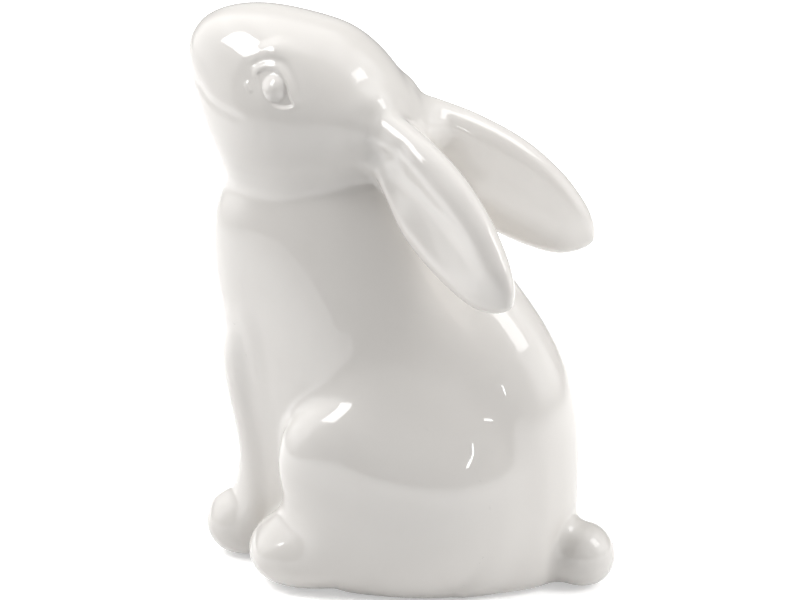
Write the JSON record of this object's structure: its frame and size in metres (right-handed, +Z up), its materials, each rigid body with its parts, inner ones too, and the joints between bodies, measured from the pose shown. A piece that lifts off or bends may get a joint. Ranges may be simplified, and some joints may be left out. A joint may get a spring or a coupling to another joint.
{
  "type": "ceramic rabbit figurine",
  "caption": "Glazed white ceramic rabbit that sits upright with its nose raised and its ears laid back, a free-standing ornament for a shelf or table.",
  "frame": {"origin": "middle of the foot face that the rabbit stands on", "axes": "+Z up, the rabbit faces -Y, and its left side is +X"},
  "size_m": [0.059, 0.0938, 0.1186],
  "materials": {
    "white_glaze": "glossy clear glaze over white earthenware"
  },
  "bodies": {
    "root": {"torso_shell": "white_glaze", "head_shell": "white_glaze", "left_ear": "white_glaze", "right_ear": "white_glaze", "left_foreleg": "white_glaze", "right_foreleg": "white_glaze", "left_haunch": "white_glaze", "right_haunch": "white_glaze", "left_hind_foot": "white_glaze", "right_hind_foot": "white_glaze", "tail": "white_glaze"}
  },
  "joints": []
}
